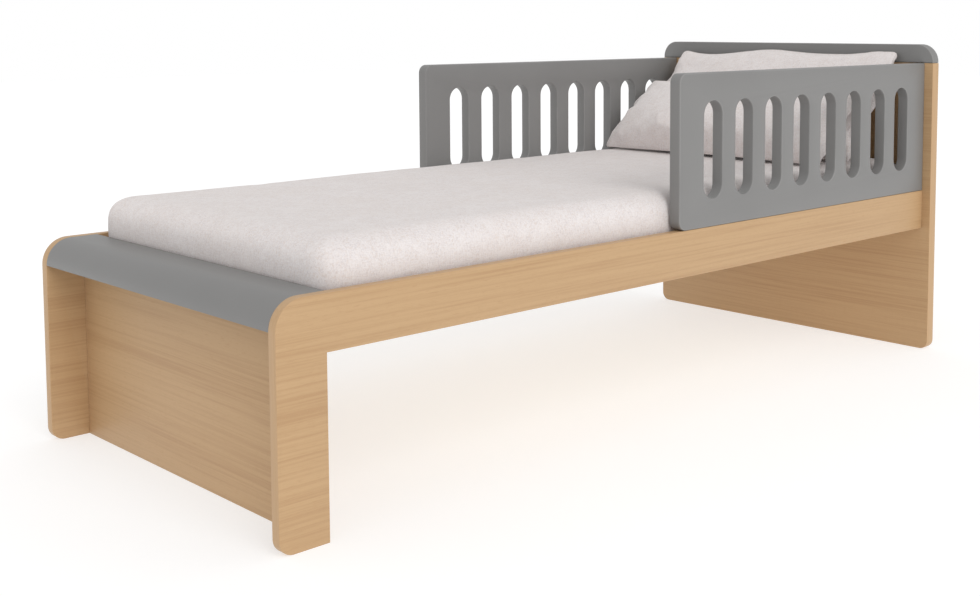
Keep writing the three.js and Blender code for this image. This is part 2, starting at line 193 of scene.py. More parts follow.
class NodeTree:
    def __init__(self, tree):
        self.tree = tree

    def node(self, kind, settings=None, output=0, **values):
        made = self.tree.nodes.new(kind)
        for key, value in (settings or {}).items():
            setattr(made, key, value)
        for key, value in values.items():
            connect(self.tree, value, made.inputs[key.replace("_", " ")])
        return Socket(self.tree, made.outputs[output])


class Finish(NodeTree):
    # one material: its tree, its shader, and the nodes that are added to it

    def __init__(self, name, **constants):
        self.material = bpy.data.materials.new(name)
        self.material.use_nodes = True
        super().__init__(self.material.node_tree)
        self.shader = self.tree.nodes["Principled BSDF"]
        self.set(**constants)

    def place(self, scale=(1, 1, 1), turn=(0, 0, 0), shift=(0, 0, 0)):
        where = self.node("ShaderNodeTexCoord", output="Object")
        return self.node("ShaderNodeMapping", Vector=where, Scale=scale, Rotation=turn,
                         Location=shift)

    def parts(self, vector):
        split = self.tree.nodes.new("ShaderNodeSeparateXYZ")
        connect(self.tree, vector, split.inputs[0])
        return [Socket(self.tree, out) for out in split.outputs]

    def noise(self, vector, scale, detail=2, roughness=0.5, distortion=0):
        return self.node("ShaderNodeTexNoise", Vector=vector, Scale=scale, Detail=detail,
                         Roughness=roughness, Distortion=distortion)

    def mix(self, factor, low, high):
        node = self.tree.nodes.new("ShaderNodeMix")
        node.data_type = "RGBA"
        connect(self.tree, factor, node.inputs["Factor"])
        for slot, value in ((6, low), (7, high)):
            connect(self.tree, value, node.inputs[slot])
        return Socket(self.tree, node.outputs[2])

    def bump(self, height, strength, distance):
        return self.node("ShaderNodeBump", Height=height, Strength=strength, Distance=distance)

    def set(self, **links):
        for socket, value in links.items():
            connect(self.tree, value, self.shader.inputs[socket.replace("_", " ")])
        return self.material


print("finishes")

oak = {
    "light": (0.540, 0.350, 0.184), "middle": (0.508, 0.323, 0.166),
    "dark": (0.462, 0.281, 0.140), "band": (0.550, 0.358, 0.196),
    "roughness": 0.50, "streaks": 240, "stretch": 0.012, "bands": 15,
}
# The lacquer's paler colour is a painted highlight for the eased edges.
lacquer = {"colour": (0.226, 0.223, 0.219), "highlight": (0.30, 0.296, 0.29), "roughness": 0.42}
weave = {
    "base": (0.730, 0.672, 0.662), "pale": (0.86, 0.82, 0.81), "warm": (0.70, 0.605, 0.55),
    "shade": (0.60, 0.555, 0.565), "threads": 0.0011,
}


# Wood-grain board: the grain runs along one axis, in fine streaks, wide bands and short pores.
def makeOak(name, grain, tone=1.0, shift=(0, 0, 0)):
    finish = Finish(name, Roughness=oak["roughness"], IOR=1.45, Coat_Roughness=0.35)
    finish.shader.inputs["Coat Weight"].default_value = 0.12
    along = {"x": (oak["stretch"], 1, 1), "y": (1, oak["stretch"], 1),
             "z": (1, 1, oak["stretch"])}[grain]
    stretched = finish.place(along, shift=shift)
    bands = finish.noise(stretched, oak["bands"], 4, 0.6, 0.3)
    streaks = finish.noise(stretched, oak["streaks"], 3, 0.6)
    fine = finish.noise(finish.place(tuple(0.2 if a < 1 else 1 for a in along), shift=shift),
                        620, 2, 0.6)
    pores = finish.noise(finish.place(tuple(0.08 if a < 1 else 1 for a in along), shift=shift),
                         800, 1, 0.5)
    tint = bands * 0.35 + streaks * 0.65
    darker = finish.mix(tint.ramp(0.34, 0.50), oak["dark"], oak["middle"])
    colour = finish.mix(tint.ramp(0.44, 0.60), darker, oak["light"])
    colour = finish.mix(fine.ramp(0.52, 0.72) * 0.4, colour, oak["middle"])
    colour = finish.mix(pores.ramp(0.60, 0.72) * 0.4, colour, oak["dark"])
    shade = finish.mix(1.0, colour, (tone, tone, tone))
    shade.link.node.blend_type = "MULTIPLY"
    height = streaks * 0.5 + fine * 0.3 - pores.ramp(0.62, 0.74) * 0.6
    return finish.set(
        Base_Color=shade, Roughness=0.46 + streaks * 0.14 + pores.ramp(0.62, 0.74) * 0.1,
        Normal=finish.bump(height, 0.22, 0.0004))


# Edge band: a thin strip with a finer, straighter grain than the boards' faces.
def makeEdgeBand(name, grain):
    finish = Finish(name, Roughness=0.42, IOR=1.45)
    along = tuple(0.02 if axis == grain else 1 for axis in "xyz")
    streaks = finish.noise(finish.place(along), 330, 3, 0.6)
    flecks = finish.noise(finish.place(), 900, 1)
    colour = finish.mix(streaks.ramp(0.3, 0.7), oak["middle"], oak["band"])
    return finish.set(
        Base_Color=finish.mix(flecks.ramp(0.62, 0.75) * 0.2, colour, oak["dark"]),
        Roughness=0.38 + streaks * 0.14, Normal=finish.bump(streaks, 0.12, 0.0003))


# Satin lacquer over fibreboard: faint mottle, a fine spray texture, and a painted highlight that
# makes the eased edges paler.
def makeLacquer(name):
    finish = Finish(name, Roughness=lacquer["roughness"], IOR=1.48)
    spray = finish.noise(finish.place(), 900, 2, 0.6)
    drift = finish.noise(finish.place(), 7, 3, 0.5)
    dust = finish.noise(finish.place(), 2600, 1)
    base = lacquer["colour"]
    colour = finish.mix(drift.ramp(0.3, 0.7) * 0.5, tuple(c * 0.965 for c in base),
                        tuple(c * 1.035 for c in base))
    colour = finish.mix(dust.ramp(0.62, 0.8) * 0.25, colour, tuple(c * 1.16 for c in base))
    # Painted highlight: the marked eased edges turn paler, in patches that follow the drift
    # mottle.
    edgeHighlightMask = finish.node("ShaderNodeAttribute", {"attribute_name": "edgeHighlight"}, output="Fac")
    edgeHighlightMask = edgeHighlightMask * (0.35 + drift.ramp(0.4, 0.6) * 0.65)
    colour = finish.mix(edgeHighlightMask.clamped() * 0.5, colour, lacquer["highlight"])
    return finish.set(Base_Color=colour, Roughness=0.36 + drift * 0.12 + spray * 0.06,
                      Normal=finish.bump(spray, 0.08, 0.0002))


# Heather cloth: a plain weave read from the cloth's own UV map, with mottled yarns.
def makeCloth(name):
    finish = Finish(name, Roughness=0.9, IOR=1.4, Sheen_Weight=0.35, Sheen_Roughness=0.4)
    finish.shader.inputs["Sheen Tint"].default_value = (1, 0.98, 0.96, 1)
    finish.shader.inputs["Specular IOR Level"].default_value = 0.25
    where = finish.node("ShaderNodeUVMap", {"uv_map": "cloth"})
    u, v, _ = finish.parts(where)
    turns = math.pi / weave["threads"]
    warp = (u * turns).sine()
    weft = (v * turns).sine()
    over = (warp * weft).ramp(-0.25, 0.25)
    yarns = over * weft.size() + (1 - over) * warp.size()
    slubsAcross = finish.noise(finish.node("ShaderNodeMapping", Vector=where,
                                           Scale=(60, 700, 1)), 1, 3, 0.6)
    slubsAlong = finish.noise(finish.node("ShaderNodeMapping", Vector=where,
                                          Scale=(700, 60, 1), Location=(3, 5, 0)), 1, 3, 0.6)
    flecks = finish.noise(finish.place(), 420, 2, 0.65)
    specks = finish.noise(finish.place(shift=(3.1, 1.7, 0.4)), 260, 2, 0.6)
    mottle = finish.noise(finish.place(), 38, 4, 0.65)
    clouds = finish.noise(finish.place(), 9, 3, 0.55)
    yarn = over * slubsAcross + (1 - over) * slubsAlong
    colour = finish.mix(yarn.ramp(0.35, 0.65), weave["base"], weave["pale"])
    colour = finish.mix(specks.ramp(0.48, 0.68) * 0.6, colour, weave["warm"])
    colour = finish.mix(flecks.ramp(0.50, 0.70) * 0.6, colour, weave["shade"])
    colour = finish.mix(mottle.ramp(0.40, 0.68) * 0.35, colour, weave["pale"])
    colour = finish.mix(clouds.ramp(0.35, 0.7) * 0.12, colour, weave["warm"])
    height = yarns * 0.55 + yarn * 0.35 + flecks * 0.25
    return finish.set(Base_Color=colour, Roughness=0.84 + yarn * 0.12,
                      Normal=finish.bump(height, 0.35, 0.0005))


def makeThread(name):
    finish = Finish(name, Roughness=0.7, Sheen_Weight=0.2)
    fuzz = finish.noise(finish.place(), 1500, 2)
    return finish.set(
        Base_Color=finish.mix(fuzz, (0.60, 0.55, 0.52), (0.78, 0.74, 0.71)),
        Normal=finish.bump(fuzz, 0.3, 0.0002))


def makePine(name, grain, shift=(0, 0, 0)):
    finish = Finish(name, Roughness=0.62)
    along = tuple(0.06 if axis == grain else 1 for axis in "xyz")
    where = finish.place(along, shift=shift)
    rings = finish.noise(where, 40, 3, 0.5, 0.8)
    bands = (rings * 60).sine() * 0.5 + 0.5
    fine = finish.noise(where, 500, 3, 0.6)
    knots = finish.noise(finish.place(tuple(a * 3 if a < 1 else 1 for a in along), shift=shift),
                         11, 1)
    colour = finish.mix(bands.ramp(0.2, 0.9), (0.74, 0.53, 0.31), (0.64, 0.42, 0.21))
    colour = finish.mix(fine.ramp(0.5, 0.75) * 0.4, colour, (0.52, 0.32, 0.15))
    colour = finish.mix(knots.ramp(0.74, 0.80) * 0.8, colour, (0.30, 0.15, 0.06))
    return finish.set(Base_Color=colour, Roughness=0.58 + fine * 0.2,
                      Normal=finish.bump(fine + bands * 0.3, 0.3, 0.0004))


def makeBeech(name):
    finish = Finish(name, Roughness=0.6)
    flecks = finish.noise(finish.place((1, 1, 0.1)), 900, 2)
    return finish.set(
        Base_Color=finish.mix(flecks.ramp(0.4, 0.7), (0.66, 0.43, 0.24), (0.52, 0.31, 0.16)),
        Normal=finish.bump(flecks, 0.3, 0.0003))


def makeZinc(name):
    finish = Finish(name, Metallic=1.0, Roughness=0.35)
    spangle = finish.noise(finish.place(), 320, 3)
    lines = finish.noise(finish.place((0.1, 1, 1)), 2200, 2)
    colour = finish.mix(spangle.ramp(0.35, 0.65), (0.52, 0.53, 0.53), (0.66, 0.67, 0.68))
    return finish.set(Base_Color=colour, Roughness=0.26 + spangle * 0.16 + lines * 0.08,
                      Normal=finish.bump(lines, 0.12, 0.0001))


def makeFoam(name):
    finish = Finish(name, Roughness=0.95)
    cells = finish.node("ShaderNodeTexVoronoi", Vector=finish.place(), Scale=900,
                        output="Distance")
    drift = finish.noise(finish.place(), 6, 2)
    colour = finish.mix(drift, (0.86, 0.79, 0.60), (0.90, 0.85, 0.70))
    return finish.set(
        Base_Color=finish.mix(cells.ramp(0.5, 0.9) * 0.5, colour, (0.70, 0.61, 0.42)),
        Normal=finish.bump(cells, 0.5, 0.0005))


oakAlong = makeOak("oakAlong", "x", shift=(0.7, 0, 0.3))
oakAcross = makeOak("oakAcross", "y", shift=(0, 0.2, 0.9))
# A little darker than the other boards, which offsets the light thrown up from the pale floor.
oakHead = makeOak("oakHead", "y", tone=0.94, shift=(0, 0.6, 0.2))
bandAlong = makeEdgeBand("bandAlong", "x")
bandAcross = makeEdgeBand("bandAcross", "y")
bandUp = makeEdgeBand("bandUp", "z")
greyLacquer = makeLacquer("greyLacquer")
heather = makeCloth("heather")
seamThread = makeThread("seamThread")
pineAcross = makePine("pineAcross", "y")
pineAlong = makePine("pineAlong", "x")
beech = makeBeech("beech")
zinc = makeZinc("zinc")
foam = makeFoam("foam")


print("boards")

eased = {"board": 0.5 * mm, "lacquered": 2.0 * mm, "segments": 3, "sharpAngle": 30}


# Loose triangles of a CAD node as one clean mesh: merged, with flat faces joined up.
def cleanCopy(node):
    shape = bmesh.new()
    shape.from_mesh(nodes[node].data)
    bmesh.ops.remove_doubles(shape, verts=shape.verts, dist=2e-6)
    bmesh.ops.dissolve_limit(shape, angle_limit=math.radians(0.6), verts=shape.verts,
                             edges=shape.edges)
    return shape


# Edges of screw and dowel holes stay sharp; the board's own outline and its slots are eased.
def outerEdges(shape, sharp, least=0.03):
    found, seen = [], set()
    for start in sharp:
        if start in seen:
            continue
        group, waiting = [], [start]
        seen.add(start)
        while waiting:
            edge = waiting.pop()
            group.append(edge)
            for corner in edge.verts:
                for other in corner.link_edges:
                    if other in sharp and other not in seen:
                        seen.add(other)
                        waiting.append(other)
        points = np.array([v.co[:] for e in group for v in e.verts])
        if np.ptp(points, axis=0).max() > least:
            found += group
    return found


def makeBoard(name, node, width, thin, faceFinish, bands=None):
    shape = cleanCopy(node)
    weights = shape.edges.layers.float.new("bevel_weight_edge")
    limit = math.radians(eased["sharpAngle"])
    sharp = {e for e in shape.edges if len(e.link_faces) == 2 and e.calc_face_angle() > limit}
    for edge in outerEdges(shape, sharp):
        edge[weights] = 1
    if bands:
        for face in shape.faces:
            if abs(face.normal[thin]) < 0.7:
                flatAxis = max(range(3), key=lambda k: abs(face.normal[k]))
                face.material_index = bands["xyz"[flatAxis]]
    mesh = bpy.data.meshes.new(name)
    shape.to_mesh(mesh)
    shape.free()
    board = bpy.data.objects.new(name, mesh)
    scene.collection.objects.link(board)
    for finish in faceFinish:
        mesh.materials.append(finish)
    soften = board.modifiers.new("eased edges", "BEVEL")
    soften.limit_method = "WEIGHT"
    soften.width = width
    soften.segments = eased["segments"]
    soften.use_clamp_overlap = False
    soften.loop_slide = False
    soften.miter_outer = "MITER_SHARP"
    applyModifiers(board)
    shadeByAngle(board.data, 35)
    markEasedEdges(board.data, thin)
    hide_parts(node)
    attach(board, "frame")


# Marks the faces of the eased edges, which lie between the board's wide face and its sides; the
# lacquer paints a highlight on them.
def markEasedEdges(mesh, thin):
    # A mark of 1 on these faces is where the painted edge highlight goes.
    highlightMark = mesh.attributes.new("edgeHighlight", "FLOAT", "CORNER")
    for face in mesh.polygons:
        if 0.1 < abs(face.normal[thin]) < 0.98:
            for corner in face.loop_indices:
                highlightMark.data[corner].value = 1


def applyModifiers(piece):
    graph = bpy.context.evaluated_depsgraph_get()
    baked = bpy.data.meshes.new_from_object(piece.evaluated_get(graph), depsgraph=graph)
    piece.modifiers.clear()
    old = piece.data
    piece.data = baked
    bpy.data.meshes.remove(old)


# Smooth faces, with edges sharper than the angle kept crisp.
def shadeByAngle(mesh, degrees):
    shape = bmesh.new()
    shape.from_mesh(mesh)
    for face in shape.faces:
        face.smooth = True
    for edge in shape.edges:
        folded = len(edge.link_faces) == 2 and edge.calc_face_angle(0) > math.radians(degrees)
        edge.smooth = not folded
    shape.to_mesh(mesh)
    shape.free()


for side in sides:
    makeBoard(f"{side}SidePanel", f"{side}_side_panel", eased["board"], 1,
              [oakAlong, bandUp, bandAlong], bands={"x": 1, "y": 0, "z": 2})
    makeBoard(f"{side}GuardRail", f"{side}_guard_rail", eased["lacquered"], 1, [greyLacquer])
for end, wood in (("footboard", oakAcross), ("headboard", oakHead)):
    makeBoard(f"{end}Panel", f"{end}_panel", eased["board"], 0, [wood, bandUp, bandAcross],
              bands={"x": 0, "y": 1, "z": 2})
makeBoard("footCap", "foot_cap", eased["board"], 1, [greyLacquer])
makeBoard("headboardTop", "headboard_top", eased["lacquered"], 0, [greyLacquer])

for name, thing in nodes.items():
    if name.startswith("slat_"):
        thing.data.materials.clear()
        thing.data.materials.append(pineAcross)
    elif name.endswith("_slat_ledger"):
        thing.data.materials.clear()
        thing.data.materials.append(pineAlong)
    elif name.endswith("_dowel"):
        thing.data.materials.clear()
        thing.data.materials.append(beech)
    elif name.endswith(("_bolt", "_nut", "_cam", "_cam_pin")):
        thing.data.materials.clear()
        thing.data.materials.append(zinc)


print("repeated small parts")

stitch = {"pitch": 4.2 * mm, "length": 3.0 * mm, "thickness": 0.35 * mm, "lift": 0.25 * mm}
screw = {
    "slatHead": 3.6 * mm, "slatRise": 0.25 * mm, "slatSpread": 36 * mm,
    "ledgerHead": 4.2 * mm, "ledgerRise": 2.2 * mm, "ledgerCount": 7, "ledgerMargin": 70 * mm,
    "sunk": 0.2 * mm,
}


# A Geometry Nodes tree with named sizes; its last nodes make real mesh with one finish.
class Growth(NodeTree):
    kinds = {float: "NodeSocketFloat", tuple: "NodeSocketVector"}

    def __init__(self, name, **sizes):
        super().__init__(bpy.data.node_groups.new(name, "GeometryNodeTree"))
        face = self.tree.interface
        face.new_socket("Base", in_out="INPUT", socket_type="NodeSocketGeometry")
        self.ids = {}
        for key, kind in sizes.items():
            made = face.new_socket(key, in_out="INPUT", socket_type=self.kinds[kind])
            self.ids[key] = made.identifier
        face.new_socket("Grown", in_out="OUTPUT", socket_type="NodeSocketGeometry")
        self.inlet = self.tree.nodes.new("NodeGroupInput")

    def given(self, name):
        return Socket(self.tree, self.inlet.outputs[name])

    def end(self, geometry, material):
        solid = self.node("GeometryNodeRealizeInstances", Geometry=geometry)
        painted = self.node("GeometryNodeSetMaterial", Geometry=solid, Material=material)
        outlet = self.tree.nodes.new("NodeGroupOutput")
        connect(self.tree, painted, outlet.inputs[0])
        return self


def makeStitchTree():
    tree = Growth("stitches", Pitch=float, Length=float, Thickness=float)
    line = tree.node("GeometryNodeMeshToCurve", Mesh=tree.given("Base"))
    spots = tree.node("GeometryNodeResampleCurve", {"mode": "LENGTH"}, Curve=line,
                      Length=tree.given("Pitch"))
    tangent = tree.node("GeometryNodeInputTangent")
    facing = tree.node("FunctionNodeAlignRotationToVector", {"axis": "Z"}, Vector=tangent)
    bar = tree.node("GeometryNodeMeshCylinder", Vertices=6, Radius=tree.given("Thickness"),
                    Depth=tree.given("Length"))
    placed = tree.node("GeometryNodeInstanceOnPoints", Points=spots, Instance=bar,
                       Rotation=facing)
    return tree.end(placed, seamThread)


# A screw head whose underside stands on its point, with a cross cut into its top.
def makeScrewTree():
    tree = Growth("screwHeads", Radius=float, Rise=float, Facing=tuple)
    head = tree.node("GeometryNodeMeshCone", Vertices=20, Radius_Top=tree.given("Radius") * 0.72,
                     Radius_Bottom=tree.given("Radius"), Depth=tree.given("Rise"))
    long, short = tree.given("Radius") * 1.05, tree.given("Radius") * 0.26
    bars = [tree.node("ShaderNodeCombineXYZ", X=x, Y=y, Z=tree.given("Rise"))
            for x, y in ((long, short), (short, long))]
    lift = tree.node("ShaderNodeCombineXYZ", Z=tree.given("Rise") * 1.1)
    cutHead = tree.tree.nodes.new("GeometryNodeMeshBoolean")
    cutHead.operation = "DIFFERENCE"
    cutHead.solver = "EXACT"
    connect(tree.tree, head, cutHead.inputs[0])
    for size in bars:
        cube = tree.node("GeometryNodeMeshCube", Size=size)
        raised = tree.node("GeometryNodeTransform", Geometry=cube, Translation=lift)
        connect(tree.tree, raised, cutHead.inputs[1])
    turn = tree.node("FunctionNodeEulerToRotation", Euler=tree.given("Facing"))
    placed = tree.node("GeometryNodeInstanceOnPoints", Points=tree.given("Base"),
                       Instance=Socket(tree.tree, cutHead.outputs[0]), Rotation=turn)
    return tree.end(placed, zinc)


def growFrom(name, points, edges, tree, sizes):
    mesh = bpy.data.meshes.new(name)
    mesh.from_pydata(points, edges, [])
    piece = bpy.data.objects.new(name, mesh)
    scene.collection.objects.link(piece)
    grow = piece.modifiers.new("grow", "NODES")
    grow.node_group = tree.tree
    for key, value in sizes.items():
        grow[tree.ids[key]] = value
    applyModifiers(piece)
    finish = [material for material in piece.data.materials if material][0]
    piece.data.materials.clear()
    piece.data.materials.append(finish)
    piece.data.polygons.foreach_set("material_index", [0] * len(piece.data.polygons))
    return piece


stitchTree = makeStitchTree()
screwTree = makeScrewTree()


def makeScrews():
    places = []
    for name in nodes:
        if name.startswith("slat_"):
            low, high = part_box(name)
            for side in ("left", "right"):
                ledgerLow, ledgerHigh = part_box(f"{side}_slat_ledger")
                for step in (-0.5, 0.5):
                    x = (low.x + high.x) / 2 + step * screw["slatSpread"]
                    places.append((x, (ledgerLow.y + ledgerHigh.y) / 2,
                                   high.z - screw["slatRise"]))
    sizes = {"Radius": screw["slatHead"], "Rise": screw["slatRise"] * 2, "Facing": (0, 0, 0)}
    slatScrews = growFrom("slatScrews", places, [], screwTree, sizes)
    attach(slatScrews, "frame")
    for side, away in sides.items():
        low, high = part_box(f"{side}_slat_ledger")
        face = low.y if away > 0 else high.y
        spots = np.linspace(low.x + screw["ledgerMargin"], high.x - screw["ledgerMargin"],
                            screw["ledgerCount"])
        rise = screw["ledgerRise"]
        places = [(x, face + away * screw["sunk"], (low.z + high.z) / 2) for x in spots]
        sizes = {"Radius": screw["ledgerHead"], "Rise": rise,
                 "Facing": (away * math.pi / 2, 0, 0)}
        made = growFrom(f"{side}LedgerScrews", places, [], screwTree, sizes)
        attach(made, "frame")


makeScrews()


print("mattress and pillows")

mattress = {
    "radius": 40 * mm, "cell": 13 * mm, "start": 1.5 * mm, "cloth": 1.2 * mm,
    "pressure": 3.0, "frames": 12, "reach": 4 * mm, "crown": 3 * mm,
    "hem": 90 * mm, "coreGap": 3.0 * mm,
}
pillowCloth = {
    "cell": 7 * mm, "pressure": 4.5, "frames": 20, "edge": 2 * mm, "flatSeam": 4,
    "bluntCorner": 7 * mm, "bluntAlong": 0.92, "bluntAcross": 0.965, "seamEase": 0.06,
    "flatten": 0.75, "calm": 0.9, "calmRows": 14, "calmReach": 4, "spare": 0.45,
    "slackLong": 1.06, "slackWide": 1.04, "reach": 0.2, "stiffness": 15, "bending": 0.15,
    "lump": 1.5 * mm, "lumpSize": 0.09,
}
rest = {
    "lift": 5 * mm, "floorGap": 0.8 * mm, "floorEase": 6 * mm,
    "wallGap": 1.2 * mm, "wallEase": 4 * mm, "pillowGap": 1.0 * mm, "search": 0.12,
}
pillows = {
    "rearPillow": {
        "node": "rear_pillow", "tilt": 50, "length": 306 * mm, "width": 638 * mm,
        "foot": 208 * mm, "front": 38 * mm, "back": 46 * mm, "sag": 0.10, "seed": 2.0,
        # how far the top seam rises above its line, from the right side to the left
        "topSeam": [5, 8, -3, -4, -3, 2, 8, 4, -5, -12, -10, 2], "sidePull": 9 * mm,
    },
    "frontPillow": {
        "node": "front_pillow", "tilt": 41, "length": 240 * mm, "width": 634 * mm,
        "foot": 318 * mm, "front": 62 * mm, "back": 16 * mm, "sag": 0.40, "seed": 7.0,
        "topSeam": [3, 2, -1, -2, 0, 2, 3, 1, -2, -1, 1, 2], "sidePull": 8 * mm,
    },
}
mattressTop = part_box("mattress_cover")[1].z
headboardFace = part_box("headboard_panel")[0].x


# Swells a closed mesh a little with cloth physics; no point moves further than reach.
def inflate(piece, pressure, frames, reach, stiffness, bending):
    cloth = piece.modifiers.new("cloth", "CLOTH")
    settings = cloth.settings
    settings.quality = 6
    settings.mass = 0.3
    settings.tension_stiffness = settings.compression_stiffness = stiffness
    settings.shear_stiffness = 5
    settings.bending_stiffness = bending
    settings.use_pressure = True
    settings.uniform_pressure_force = pressure
    settings.effector_weights.gravity = 0
    cloth.point_cache.frame_start = 1
    cloth.point_cache.frame_end = frames
    before = readPoints(piece.data)
    for step in range(1, frames + 1):
        scene.frame_set(step)
    graph = bpy.context.evaluated_depsgraph_get()
    after = readPoints(piece.evaluated_get(graph).data)
    piece.modifiers.clear()
    scene.frame_set(1)
    moved = after - before
    far = np.linalg.norm(moved, axis=1, keepdims=True)
    writePoints(piece.data, before + moved * np.minimum(1, reach / np.maximum(far, 1e-9)))


def readPoints(mesh):
    points = np.empty(len(mesh.vertices) * 3)
    mesh.vertices.foreach_get("co", points)
    return points.reshape(-1, 3)


def writePoints(mesh, points):
    mesh.vertices.foreach_set("co", np.ascontiguousarray(points).ravel())
    mesh.update()


def smoothNoise(points, size, seed):
    return np.array([noise.noise(Vector(p / size) + Vector((seed, seed * 0.7, 0)))
                     for p in points])


def subdivide(piece, levels=1):
    finer = piece.modifiers.new("finer", "SUBSURF")
    finer.levels = finer.render_levels = levels
    finer.uv_smooth = "PRESERVE_CORNERS"
    applyModifiers(piece)
    for face in piece.data.polygons:
        face.use_smooth = True


def easeBetween(value, low, high):
    t = np.clip((value - low) / (high - low), 0, 1)
    return t * t * (3 - 2 * t)


# A block with rounded edges, as a grid of nearly square cells.
def roundedBlock(name, low, high, radius, cell):
    middle, half = (low + high) / 2, (high - low) / 2
    counts = [max(2, round(2 * h / cell)) for h in half]
    shape = bmesh.new()
    found = {}

    def corner(i, j, k):
        key = (i, j, k)
        if key not in found:
            flat = np.array([2 * h * (c / n) - h for h, c, n in zip(half, key, counts)])
            inner = np.clip(flat, -half + radius, half - radius)
            out = flat - inner
            size = np.linalg.norm(out)
            at = inner + out / size * radius if size > 1e-9 else flat
            found[key] = shape.verts.new(at + middle)
        return found[key]

    for axis in range(3):
        u, v = (axis + 1) % 3, (axis + 2) % 3
        for end in (0, counts[axis]):
            for a in range(counts[u]):
                for b in range(counts[v]):
                    ring = []
                    for da, db in ((0, 0), (1, 0), (1, 1), (0, 1)):
                        key = [0, 0, 0]
                        key[axis], key[u], key[v] = end, a + da, b + db
                        ring.append(corner(*key))
                    shape.faces.new(ring if end else ring[::-1])
    mesh = bpy.data.meshes.new(name)
    shape.to_mesh(mesh)
    shape.free()
    piece = bpy.data.objects.new(name, mesh)
    scene.collection.objects.link(piece)
    return piece


# The cloth's own map in metres: flat on top, and unrolled down the sides.
def mapBlockCloth(mesh, top):
    points = readPoints(mesh)
    normals = np.empty(len(mesh.vertices) * 3)
    mesh.vertices.foreach_get("normal", normals)
    across = normals.reshape(-1, 3)[:, :2]
    flat = points[:, :2] + across * (top - points[:, 2:3])
    layer = mesh.uv_layers.new(name="cloth")
    corners = np.empty(len(mesh.loops), dtype=int)
    mesh.loops.foreach_get("vertex_index", corners)
    layer.data.foreach_set("uv", flat[corners].ravel())


def makeMattress(settings):
    low, high = (np.array(c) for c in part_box("mattress_cover"))
    start = settings["start"]
    cover = roundedBlock("mattressCover", low + start, high - start,
                         settings["radius"] - start, settings["cell"])
    mapBlockCloth(cover.data, high[2])
    inflate(cover, settings["pressure"], settings["frames"], settings["reach"], 25, 2)
    points = readPoints(cover.data)
    middle, half = (low + high) / 2, (high - low) / 2
    soft = points - (points.min(0) + points.max(0)) / 2
    points = middle + soft * (half + 0.6 * mm) / soft.max(0)
    share = (points - middle) / half
    crown = settings["crown"] * (1 - share[:, 0] ** 4) * (1 - share[:, 1] ** 4)
    lumps = smoothNoise(points, 0.22, 3.0) * 1.4 * mm + smoothNoise(points, 0.07, 9.0) * 0.5 * mm
    upper = easeBetween(share[:, 2], 0.2, 1)
    points[:, 2] += (crown * 0.4 + lumps) * upper
    points[:, 2] = np.maximum(points[:, 2], low[2] + 0.3 * mm)
    for axis, room in ((0, 1.6 * mm), (1, 2.0 * mm)):
        points[:, axis] = np.clip(points[:, axis], low[axis] - room, high[axis] + room)
    writePoints(cover.data, points)

    core = cover.copy()
    core.data = cover.data.copy()
    core.name = "mattressCore"
    scene.collection.objects.link(core)
    normals = np.empty(len(points) * 3)
    core.data.vertices.foreach_get("normal", normals)
    inside = readPoints(core.data) - normals.reshape(-1, 3) * settings["coreGap"]
    writePoints(core.data, inside)
    core.data.materials.append(foam)
    core.data.polygons.foreach_set("use_smooth", [True] * len(core.data.polygons))

    openUnderneath(cover, low, high, settings["hem"])
    cover.data.materials.append(heather)
    subdivide(cover)
    thicken = cover.modifiers.new("cloth thickness", "SOLIDIFY")
    thicken.thickness = settings["cloth"]
    thicken.offset = -1
    applyModifiers(cover)
    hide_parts("mattress_cover")
    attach(cover, "mattress")
    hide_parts("mattress_core")
    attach(core, "mattress")


# The cover turns under the block and leaves an opening, as a fitted cover does.
def openUnderneath(cover, low, high, hem):
    shape = bmesh.new()
    shape.from_mesh(cover.data)
    gone = [f for f in shape.faces if f.normal.z < -0.9
            and low[0] + hem < f.calc_center_median().x < high[0] - hem
            and low[1] + hem < f.calc_center_median().y < high[1] - hem]
    bmesh.ops.delete(shape, geom=gone, context="FACES")
    shape.to_mesh(cover.data)
    shape.free()


# Two layers of cloth, sewn together round the edge and lying flat: length along X, width along Y.
def sewnBag(name, length, width, cell, edge):
    along, across = round(length / cell), round(width / cell)
    mesh = bpy.data.meshes.new(name)
    points, faces, maps = [], [], []
    index = {}

    def corner(i, j, side):
        rim = i in (0, along) or j in (0, across)
        key = (i, j, 0 if rim else side)
        if key not in index:
            index[key] = len(points)
            lift = 0 if rim else side * edge * (0.6 + 0.4 * math.sin(i * 1.3) * math.sin(j * 0.9))
            points.append(((i / along) * length, (j / across - 0.5) * width, lift))
        return index[key]

    for side in (1, -1):
        for i in range(along):
            for j in range(across):
                ring = [(i, j), (i + 1, j), (i + 1, j + 1), (i, j + 1)]
                ring = ring if side > 0 else ring[::-1]
                faces.append([corner(a, b, side) for a, b in ring])
                maps += [(a / along * length, b / across * width + (side < 0) * 2 * width)
                         for a, b in ring]
    mesh.from_pydata(points, [], faces)
    layer = mesh.uv_layers.new(name="cloth")
    layer.data.foreach_set("uv", np.array(maps).ravel())
    piece = bpy.data.objects.new(name, mesh)
    scene.collection.objects.link(piece)
    return piece, index, along, across


